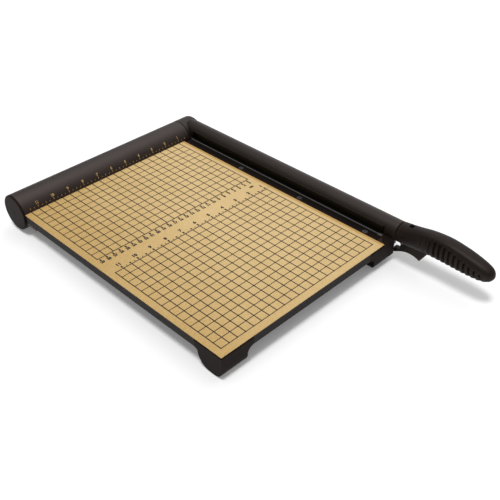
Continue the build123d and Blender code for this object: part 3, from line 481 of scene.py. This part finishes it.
def piece(name, source, material, body):
    """A finished mesh piece at the origin that rides on a body. Takes a bmesh, which it frees."""
    mesh = bpy.data.meshes.new(name)
    source.to_mesh(mesh)
    source.free()
    mesh.materials.clear()
    mesh.materials.append(material)
    made = bpy.data.objects.new(name, mesh)
    bpy.context.collection.objects.link(made)
    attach(made, body)
    return made


def plain_mesh(made):
    """The evaluated mesh of a working object, which is then removed."""
    bpy.context.view_layer.update()
    shown = made.evaluated_get(bpy.context.evaluated_depsgraph_get())
    mesh = bpy.data.meshes.new_from_object(shown)
    bpy.data.objects.remove(made)
    return mesh


def mark_row_tree():
    """Geometry nodes for a row of printed marks: small blocks in line, some of them longer."""
    group = bpy.data.node_groups.new("mark_row", "GeometryNodeTree")
    inputs = (("Count", "NodeSocketInt"), ("First", "NodeSocketVector"), ("Pitch", "NodeSocketVector"),
              ("Size", "NodeSocketVector"), ("Longer Every", "NodeSocketInt"),
              ("Longer Share", "NodeSocketFloat"), ("Ink", "NodeSocketMaterial"))
    for name, kind in inputs:
        group.interface.new_socket(name, in_out="INPUT", socket_type=kind)
    group.interface.new_socket("Geometry", in_out="OUTPUT", socket_type="NodeSocketGeometry")
    tree = Tree(group)
    given = tree.node("NodeGroupInput")
    row = tree.node("GeometryNodeMeshLine", {"mode": "OFFSET"}, {
        "Count": given["Count"], "Start Location": given["First"], "Offset": given["Pitch"]})
    block = tree.node("GeometryNodeMeshCube", None, {"Size": given["Size"], "Vertices Y": 4})
    size = tree.node("ShaderNodeSeparateXYZ", None, {"Vector": given["Size"]})
    foot = tree.node("ShaderNodeCombineXYZ", None, {"Y": size["Y"] * 0.5})
    standing = tree.node("GeometryNodeTransform", None, {"Geometry": block, "Translation": foot})
    index = tree.node("GeometryNodeInputIndex")
    longer = (index % given["Longer Every"]).below(0.5)
    reach = 1 + longer * (given["Longer Share"] - 1)
    stretch = tree.node("ShaderNodeCombineXYZ", None, {"X": 1, "Y": reach, "Z": 1})
    marks = tree.node("GeometryNodeInstanceOnPoints", None, {
        "Points": row, "Instance": standing, "Scale": stretch})
    whole_row = tree.node("GeometryNodeRealizeInstances", None, {"Geometry": marks})
    inked = tree.node("GeometryNodeSetMaterial", None, {"Geometry": whole_row, "Material": given["Ink"]})
    end = group.nodes.new("NodeGroupOutput")
    tree.put(end.inputs["Geometry"], inked)
    return group


def add_marks(target, ink, count, first, pitch, size, longer=(1, 1)):
    """Adds a row of printed marks to a bmesh. Longer says every how many marks one is longer, and its share."""
    group = bpy.data.node_groups.get("mark_row") or mark_row_tree()
    made = bpy.data.objects.new("marks", bpy.data.meshes.new("marks"))
    bpy.context.collection.objects.link(made)
    grow = made.modifiers.new("Marks", "NODES")
    grow.node_group = group
    values = {"Count": count, "First": first, "Pitch": pitch, "Size": size, "Longer Every": longer[0],
              "Longer Share": float(longer[1]), "Ink": ink}
    for item in group.interface.items_tree:
        if item.in_out == "INPUT":
            grow[item.identifier] = values[item.name]
    mesh = plain_mesh(made)
    target.from_mesh(mesh)
    bpy.data.meshes.remove(mesh)


# A figure's height as a share of its font's size, and how much its strokes thicken as a share of its height
FIGURE_SHARE = 0.72
FIGURE_WEIGHT = 0.1


def add_figure(target, text, height, place, depth):
    """Adds a printed figure to a bmesh, centred on a place, upright as seen from the front."""
    curve = bpy.data.curves.new("figure", "FONT")
    curve.body = text
    curve.size = height / FIGURE_SHARE
    curve.align_x = "CENTER"
    curve.align_y = "CENTER"
    curve.extrude = depth
    curve.offset = FIGURE_WEIGHT * height
    curve.resolution_u = 3
    made = bpy.data.objects.new("figure", curve)
    bpy.context.collection.objects.link(made)
    mesh = plain_mesh(made)
    mesh.transform(Matrix.Translation(place))
    target.from_mesh(mesh)
    bpy.data.meshes.remove(mesh)
    bpy.data.curves.remove(curve)


class TRIMMER_OT_finishes(bpy.types.Operator):
    """Give every packed node its finish"""

    bl_idname = "trimmer.finishes"
    bl_label = "Finish Nodes"

    def execute(self, context):
        tones = context.scene.trimmer_finish
        finishes = {"core": core_finish(tones), "sheet": sheet_finish(tones, context.scene.trimmer_sheet)}
        for make, table in ((coat_finish, COATS), (steel_finish, METALS)):
            for finish_name, (name, tone, level, *looks) in table.items():
                finishes[finish_name] = make(name, scaled(getattr(tones, tone), level), *looks)
        for finish_name, node_names in NODE_FINISHES.items():
            for node_name in node_names:
                materials = frame["nodes"][node_name].data.materials
                materials.clear()
                materials.append(finishes[finish_name])
        return {"FINISHED"}


class TRIMMER_OT_grid_print(bpy.types.Operator):
    """Print the half-inch grid on the board, with a gap for the ruler band"""

    bl_idname = "trimmer.grid_print"
    bl_label = "Print Grid"

    def execute(self, context):
        sizes = context.scene.trimmer_print
        ink = ink_finish("grid_ink", context.scene.trimmer_finish.ink, 0.4)
        lines = bmesh.new()
        wide, thin, high = sizes.line_width, sizes.cross_line_width, 2 * sizes.ink_height
        left, right = EDGE_X - sizes.grid_left, EDGE_X - sizes.grid_right
        columns = round((right - left) / sizes.cell) + 1
        for back, front in ((sizes.grid_back, sizes.band_back), (sizes.band_front, sizes.grid_front)):
            first_row = max(1, round(back / sizes.cell))
            rows = round(front / sizes.cell) - first_row + 1
            add_marks(lines, ink, columns, (left, STOP_Y - front - wide / 2, BOARD_Z), (sizes.cell, 0, 0),
                      (wide, front - back + wide, high))
            row_y = STOP_Y - first_row * sizes.cell - thin / 2
            add_marks(lines, ink, rows, ((left + right) / 2, row_y, BOARD_Z), (0, -sizes.cell, 0),
                      (right - left, thin, high))
        piece("grid_print", lines, ink, "base")
        return {"FINISHED"}


class TRIMMER_OT_board_ruler(bpy.types.Operator):
    """Print the inch and centimetre rulers on the band across the board"""

    bl_idname = "trimmer.board_ruler"
    bl_label = "Print Board Ruler"

    def execute(self, context):
        sizes = context.scene.trimmer_print
        ink = ink_finish("ruler_ink", context.scene.trimmer_finish.ink, 0.4)
        print_marks = bmesh.new()
        high = 2 * sizes.ink_height
        inches = sizes.inches
        front = STOP_Y - sizes.band_front
        fine = INCH / 16
        count = round((sizes.grid_left - sizes.fringe_start) / fine) + 1
        add_marks(print_marks, ink, count, (EDGE_X - sizes.fringe_start, front, BOARD_Z), (-fine, 0, 0),
                  (sizes.fringe_width, sizes.fringe, high))
        for reach, first, pitch, count, width in (
                (sizes.inch_tick, 1, 1, inches, sizes.tick_width),
                (sizes.half_tick, 1.5, 1, inches - 1, sizes.tick_width),
                (sizes.quarter_tick, 1.25, 0.5, 2 * inches - 2, sizes.quarter_width)):
            add_marks(print_marks, ink, count, (EDGE_X - first * INCH, front + sizes.tick_start, BOARD_Z),
                      (-pitch * INCH, 0, 0), (width, reach, high))
        for inch in range(1, inches + 1):
            add_figure(print_marks, str(inch), sizes.figure_height,
                       (EDGE_X - inch * INCH, front + sizes.figure_rise, BOARD_Z), sizes.ink_height)
        back = STOP_Y - sizes.band_back
        first, last = sizes.centimetre_first, sizes.centimetre_last
        count = round((sizes.grid_left - sizes.small_fringe_start) / MM)
        add_marks(print_marks, ink, count, (EDGE_X - sizes.small_fringe_start, back - sizes.fringe, BOARD_Z),
                  (-MM, 0, 0), (sizes.small_fringe_width, sizes.fringe, high))
        add_marks(print_marks, ink, last - first + 1,
                  (EDGE_X - first * CENTIMETRE, back - sizes.tick_start - sizes.centimetre_tick, BOARD_Z),
                  (-CENTIMETRE, 0, 0), (sizes.tick_width, sizes.centimetre_tick, high))
        for centimetre in range(first, last + 1):
            add_figure(print_marks, str(centimetre), sizes.small_figure_height,
                       (EDGE_X - centimetre * CENTIMETRE, back - sizes.small_figure_rise, BOARD_Z),
                       sizes.ink_height)
        add_figure(print_marks, "cm", sizes.small_figure_height,
                   (EDGE_X - sizes.unit_inset, back - sizes.unit_drop, BOARD_Z), sizes.ink_height)
        piece("board_ruler_print", print_marks, ink, "base")
        return {"FINISHED"}


class TRIMMER_OT_stop_ruler(bpy.types.Operator):
    """Print the inch ruler in gold round the backstop's front"""

    bl_idname = "trimmer.stop_ruler"
    bl_label = "Print Backstop Ruler"

    def execute(self, context):
        sizes = context.scene.trimmer_print
        ink = ink_finish("gold_ink", context.scene.trimmer_finish.gold, 0.45)
        print_marks = bmesh.new()
        high = sizes.stop_ink_height
        wide = sizes.stop_tick_width
        foot = sizes.stop_tick_rise
        add_marks(print_marks, ink, sizes.inches * 4 + 1, (EDGE_X - INCH / 2, foot, 0), (-INCH / 4, 0, 0),
                  (wide, sizes.stop_tick, high), (2, sizes.stop_half_share))
        add_marks(print_marks, ink, sizes.inches, (EDGE_X - INCH, foot, 0), (-INCH, 0, 0),
                  (wide, sizes.stop_inch_tick, high))
        for inch in range(1, sizes.inches + 1):
            add_figure(print_marks, str(inch), sizes.stop_figure_height,
                       (EDGE_X - inch * INCH, foot + sizes.stop_figure_rise, 0), high / 2)
        start = asin((BOARD_Z - PIVOT.z) / STOP_RADIUS)
        for vertex in print_marks.verts:
            turn = start + vertex.co.y / STOP_RADIUS
            radius = STOP_RADIUS + vertex.co.z
            vertex.co = (vertex.co.x, PIVOT.y - radius * cos(turn), PIVOT.z + radius * sin(turn))
        bmesh.ops.recalc_face_normals(print_marks, faces=print_marks.faces)
        piece("backstop_ruler_print", print_marks, ink, "base")
        return {"FINISHED"}


# Handle sections from the arm to the tip: shares of the length, the rise, the half width and the half height
HANDLE_SECTIONS = (
    (0.00, 0.00, 0.979, 0.806),
    (0.16, 0.40, 0.980, 0.865),
    (0.32, 0.86, 0.990, 0.950),
    (0.50, 1.00, 1.000, 1.000),
    (0.66, 0.70, 0.980, 0.950),
    (0.80, 0.35, 0.920, 0.840),
    (0.90, 0.12, 0.810, 0.700),
    (0.965, 0.05, 0.580, 0.480),
    (1.00, 0.00, 0.000, 0.000),
)

# Stop line to each grip screw
GRIP_SCREW_REACHES = (417 * MM, 446 * MM, 505 * MM)


def smooth_row(rows, at):
    """The columns after the first of a table, at a place along its first column, on a smooth curve."""
    last = len(rows) - 1
    spot = next((i for i in range(last) if at <= rows[i + 1][0]), last - 1)
    before, low, high, after = (rows[max(0, min(last, spot + k))] for k in (-1, 0, 1, 2))
    step = high[0] - low[0]
    t = (at - low[0]) / step
    answer = []
    for column in range(1, len(low)):
        low_slope = (high[column] - before[column]) / (high[0] - before[0])
        high_slope = (after[column] - low[column]) / (after[0] - low[0])
        answer.append((2 * t**3 - 3 * t**2 + 1) * low[column] + (t**3 - 2 * t**2 + t) * step * low_slope
                      + (3 * t**2 - 2 * t**3) * high[column] + (t**3 - t**2) * step * high_slope)
    return answer


def eased(value, start, end):
    """0 at start and 1 at end, with a soft change between them."""
    t = max(0, min(1, (value - start) / (end - start)))
    return t * t * (3 - 2 * t)


class TRIMMER_OT_handle(bpy.types.Operator):
    """Make the two halves of the grooved handle"""

    bl_idname = "trimmer.handle"
    bl_label = "Make Handle"

    # Steps round a half, along its straight part and along its dome, and where the dome starts
    around = 76
    straight_steps = 290
    dome_steps = 18
    dome_start = 0.955
    tip_gap = 0.02 * MM

    # How square a section is, and the ridge along its shoulder: its turn, softness and reach, where along the
    # handle it grows and fades, and between which turns it ends
    roundness = 2.25
    shoulder_turn = radians(36)
    shoulder_softness = 0.07
    shoulder_reach = 0.35
    ridge_grows = (0.05, 0.4)
    ridge_fades = (0.72, 0.97)
    ridge_ends = (radians(70), radians(90))

    # Grooves: flanks as shares of the width, how many fade in and out, the height that the first reaches and
    # how far the last stays below it, how soft that end is, and how they fade towards the keel
    groove_flank = (0.2, 0.62)
    groove_fades = (3.5, 3)
    groove_top = 0.80
    groove_fall = 0.828
    groove_soft = (-0.16, 0.04)
    groove_keel = (0.62, 0.97)
    groove_keel_share = 0.95

    sharp_angle = radians(38)

    def execute(self, context):
        self.sizes = context.scene.trimmer_handle
        self.arm_z = BOARD_Z + self.sizes.axis_rise
        self.length = HANDLE_START - HANDLE_TIP
        # Sections are read against a share that runs evenly round the tip's dome
        self.rows = [(1 - sqrt(1 - row[0]), *row[1:]) for row in HANDLE_SECTIONS]
        material = frame["nodes"]["left_grip"].data.materials[0]
        for name, side in (("left_grip", -1), ("right_grip", 1)):
            half = self.half(side)
            made = piece(name + "_shell", half, material, "arm")
            self.cut(made, side)
            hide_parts(name)
        return {"FINISHED"}

    def stations(self):
        """Shares of the length at which the handle has a section, closer together round the tip."""
        straight = [self.dome_start * i / self.straight_steps for i in range(self.straight_steps + 1)]
        dome = [1 - (1 - self.dome_start) * (1 - i / self.dome_steps)**2 for i in range(1, self.dome_steps)]
        return straight + dome

    def groove(self, along, drop):
        """Depth of the grip grooves at a distance along the handle and a share of its half height."""
        sizes = self.sizes
        number = round((along - sizes.groove_first) / sizes.groove_pitch)
        number = max(0, min(sizes.groove_count - 1, number))
        off = abs(along - sizes.groove_first - number * sizes.groove_pitch)
        pulse = 1 - eased(off, *(flank * sizes.groove_width for flank in self.groove_flank))
        fade_in, fade_out = self.groove_fades
        fade = min(1, (number + 0.5) / fade_in) * min(1, (sizes.groove_count - number + 1) / fade_out)
        top = self.groove_top - self.groove_fall * eased(number, 2, sizes.groove_count + 3)
        keel = 1 - self.groove_keel_share * eased(-drop, *self.groove_keel)
        below_top = 1 - eased(drop, *(top + soft for soft in self.groove_soft))
        return sizes.groove_depth * fade * pulse * keel * below_top

    def half(self, side):
        """One half of the handle as a closed shell."""
        sizes = self.sizes
        shell = bmesh.new()
        rings = []
        for at in self.stations():
            rise, wide, high = smooth_row(self.rows, 1 - sqrt(1 - at))
            centre = self.arm_z + rise * sizes.rise
            ridge = sizes.shoulder * eased(at, *self.ridge_grows) * (1 - eased(at, *self.ridge_fades))
            outline = []
            for step in range(self.around + 1):
                turn = pi * step / self.around
                across = max(0, sin(turn))**(2 / self.roundness)
                up = abs(cos(turn))**(2 / self.roundness) * (1 if turn < pi / 2 else -1)
                off = sqrt((turn - self.shoulder_turn)**2 + self.shoulder_softness**2) / self.shoulder_reach
                flat = exp(-self.shoulder_turn / self.shoulder_reach)
                swell = 1 + ridge * (exp(-off) - flat) if turn < pi / 2 else 1
                swell = 1 + (swell - 1) * (1 - eased(turn, *self.ridge_ends))
                corner = Vector((wide * sizes.half_width * across, high * sizes.half_height * up))
                outline.append(corner * swell)
            ring = []
            for step, spot in enumerate(outline):
                tangent = outline[min(step + 1, self.around)] - outline[max(step - 1, 0)]
                inward = Vector((tangent.y, -tangent.x)).normalized()
                if inward.dot(spot) > 0:
                    inward.negate()
                depth = self.groove(at * self.length, spot.y / (high * sizes.half_height))
                if 0 < step < self.around:
                    spot = spot + inward * depth
                else:
                    spot = Vector((0, spot.y - depth * (1 if spot.y > 0 else -1)))
                ring.append(shell.verts.new((
                    PARTING_X + side * (sizes.parting / 2 + max(0, spot.x)),
                    HANDLE_START - at * self.length, centre + spot.y)))
            rings.append(ring)
        tip = shell.verts.new((PARTING_X + side * sizes.parting / 2, HANDLE_TIP + self.tip_gap, self.arm_z))
        for ring, following in zip(rings, rings[1:]):
            for step in range(self.around):
                shell.faces.new((ring[step], ring[step + 1], following[step + 1], following[step]))
            shell.faces.new((ring[0], following[0], following[-1], ring[-1]))
        shell.faces.new(rings[0])
        for step in range(self.around):
            shell.faces.new((rings[-1][step], rings[-1][step + 1], tip))
        shell.faces.new((rings[-1][-1], rings[-1][0], tip))
        bmesh.ops.recalc_face_normals(shell, faces=shell.faces)
        return shell

    def cut(self, made, side):
        """Cuts the top slot, the latch's slot and the screw recesses out of one half."""
        sizes = self.sizes
        cutter = bmesh.new()
        lever_low, lever_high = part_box("latch_lever")
        slot_y = HANDLE_START - sizes.slot_start
        boxes = [
            ((PARTING_X - sizes.slot_width / 2, slot_y - sizes.slot_length / 2,
              self.arm_z + sizes.slot_floor),
             (PARTING_X + sizes.slot_width / 2, slot_y + sizes.slot_length / 2, HANDLE_CROWN)),
            ((lever_low.x - sizes.latch_gap, lever_low.y - sizes.latch_front_gap,
              self.arm_z - sizes.cutter_reach),
             (lever_high.x + sizes.latch_gap, HANDLE_START - sizes.latch_gap, self.arm_z - sizes.latch_roof)),
        ]
        for low, high in boxes:
            low, high = Vector(low), Vector(high)
            bmesh.ops.create_cube(cutter, size=1, matrix=Matrix.Translation((low + high) / 2)
                                  @ Matrix.Diagonal((*(high - low), 1)))
        if side > 0:
            screws_low, screws_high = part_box("grip_screws")
            radius = (screws_high.z - screws_low.z) / 2 + sizes.recess_gap
            for reach in GRIP_SCREW_REACHES:
                place = Vector((screws_high.x - sizes.recess_depth + sizes.cutter_reach / 2, STOP_Y - reach,
                                (screws_low.z + screws_high.z) / 2))
                bmesh.ops.create_cone(cutter, cap_ends=True, segments=40, radius1=radius, radius2=radius,
                                      depth=sizes.cutter_reach,
                                      matrix=Matrix.Translation(place) @ Matrix.Rotation(pi / 2, 4, "Y"))
        mesh = bpy.data.meshes.new("cutter")
        cutter.to_mesh(mesh)
        cutter.free()
        tool = bpy.data.objects.new("cutter", mesh)
        bpy.context.collection.objects.link(tool)
        cut = made.modifiers.new("Cut", "BOOLEAN")
        cut.operation = "DIFFERENCE"
        cut.solver = "EXACT"
        cut.object = tool
        bpy.context.view_layer.update()
        finished = bpy.data.meshes.new_from_object(made.evaluated_get(bpy.context.evaluated_depsgraph_get()))
        made.modifiers.remove(cut)
        made.data = finished
        bpy.data.objects.remove(tool)
        finished.shade_smooth()
        finished.set_sharp_from_angle(angle=self.sharp_angle)


class TRIMMER_OT_stage(bpy.types.Operator):
    """Set up the floor, the lamps, the surroundings and the camera"""

    bl_idname = "trimmer.stage"
    bl_label = "Set Stage"

    def execute(self, context):
        scene = context.scene
        sizes = scene.trimmer_stage
        self.add_floor(context, sizes)
        self.add_surroundings(scene, sizes)
        lamp = bpy.data.lights.new("overhead_lamp", "SUN")
        lamp.energy = sizes.key_light * pi
        lamp.angle = sizes.key_spread
        overhead = bpy.data.objects.new("overhead_lamp", lamp)
        overhead.rotation_euler = (sizes.key_pitch, sizes.key_sway, 0)
        context.collection.objects.link(overhead)
        camera_data = bpy.data.cameras.new("camera")
        camera_data.lens = sizes.lens
        camera_data.sensor_width = sizes.sensor
        camera = bpy.data.objects.new("camera", camera_data)
        turn = (Matrix.Rotation(sizes.azimuth, 4, "Z") @ Matrix.Rotation(pi / 2 - sizes.elevation, 4, "X")
                @ Matrix.Rotation(sizes.roll, 4, "Z"))
        camera.matrix_world = Matrix.Translation(sizes.camera_place) @ turn
        context.collection.objects.link(camera)
        scene.camera = camera
        scene.view_settings.view_transform = "Standard"
        return {"FINISHED"}

    def add_floor(self, context, sizes):
        """A pale floor that keeps the shadow, lifted to white where the camera sees it."""
        level = bmesh.new()
        bmesh.ops.create_grid(level, x_segments=8, y_segments=8, size=sizes.floor_reach)
        mesh = bpy.data.meshes.new("floor")
        level.to_mesh(mesh)
        level.free()
        floor = bpy.data.objects.new("floor", mesh)
        context.collection.objects.link(floor)
        finish = Finish("floor_white", base_color=(sizes.floor,) * 3, roughness=1, specular_ior_level=0)
        path = finish.node("ShaderNodeLightPath")
        seen = path["Is Camera Ray"] + path["Is Glossy Ray"] + path["Is Transmission Ray"]
        lift = finish.node("ShaderNodeEmission", None, {
            "Color": (1, 1, 1), "Strength": seen * sizes.floor_lift})
        both = finish.node("ShaderNodeAddShader", None, {
            0: Socket(finish, finish.shader.outputs[0]), 1: lift})
        finish.put(finish.tree.nodes["Material Output"].inputs["Surface"], both)
        mesh.materials.append(finish.material)

    def add_surroundings(self, scene, sizes):
        """White surroundings, brightest overhead, at full white where the camera sees them."""
        world = bpy.data.worlds.new("studio")
        world.use_nodes = True
        scene.world = world
        tree = Tree(world.node_tree)
        path = tree.node("ShaderNodeLightPath")
        seen = path["Is Camera Ray"]
        direction = tree.node("ShaderNodeTexCoord", output="Generated")
        height = tree.node("ShaderNodeSeparateXYZ", None, {"Vector": direction})["Z"]
        zenith = sizes.zenith_share * height.eased(*sizes.zenith_rise)
        light = (sizes.horizon_share + zenith) * sizes.fill_light
        for place, power in ((sizes.side_place, sizes.side_light), (sizes.rim_place, sizes.rim_light)):
            aim = tree.node("ShaderNodeVectorMath", {"operation": "DOT_PRODUCT"}, {
                0: direction, 1: Vector(place).normalized()}, "Value")
            light = light + aim.eased(sizes.side_reach, 1) * power
        strength = seen + (1 - seen) * light
        shine = world.node_tree.nodes["Background"]
        tree.put(shine.inputs["Color"], (1, 1, 1))
        tree.put(shine.inputs["Strength"], strength)


STEPS = (TRIMMER_OT_finishes, TRIMMER_OT_grid_print, TRIMMER_OT_board_ruler, TRIMMER_OT_stop_ruler,
         TRIMMER_OT_handle, TRIMMER_OT_stage)
GROUPS = {"trimmer_print": PrintSettings, "trimmer_handle": HandleSettings, "trimmer_finish": FinishSettings,
          "trimmer_sheet": SheetSettings, "trimmer_stage": StageSettings}


class TRIMMER_PT_panel(bpy.types.Panel):
    """Lists the trimmer's settings and the steps that use them"""

    bl_idname = "TRIMMER_PT_panel"
    bl_label = "Paper Trimmer"
    bl_space_type = "VIEW_3D"
    bl_region_type = "UI"
    bl_category = "Trimmer"

    def draw(self, context):
        for name, group in GROUPS.items():
            box = self.layout.box()
            box.label(text=group.__doc__)
            for setting in group.__annotations__:
                box.prop(getattr(context.scene, name), setting)
        for step in STEPS:
            self.layout.operator(step.bl_idname)


def register():
    """Registers the settings, the steps and the panel."""
    for kind in (*GROUPS.values(), *STEPS, TRIMMER_PT_panel):
        bpy.utils.register_class(kind)
    for name, group in GROUPS.items():
        setattr(bpy.types.Scene, name, PointerProperty(type=group))


def unregister():
    """Takes the panel, the steps and the settings away again."""
    for name in GROUPS:
        delattr(bpy.types.Scene, name)
    for kind in (TRIMMER_PT_panel, *reversed(STEPS), *reversed(GROUPS.values())):
        bpy.utils.unregister_class(kind)


def main():
    """Makes every piece and the stage."""
    register()
    for step in STEPS:
        group, name = step.bl_idname.split(".")
        getattr(getattr(bpy.ops, group), name)()


if __name__ == "__main__":
    main()
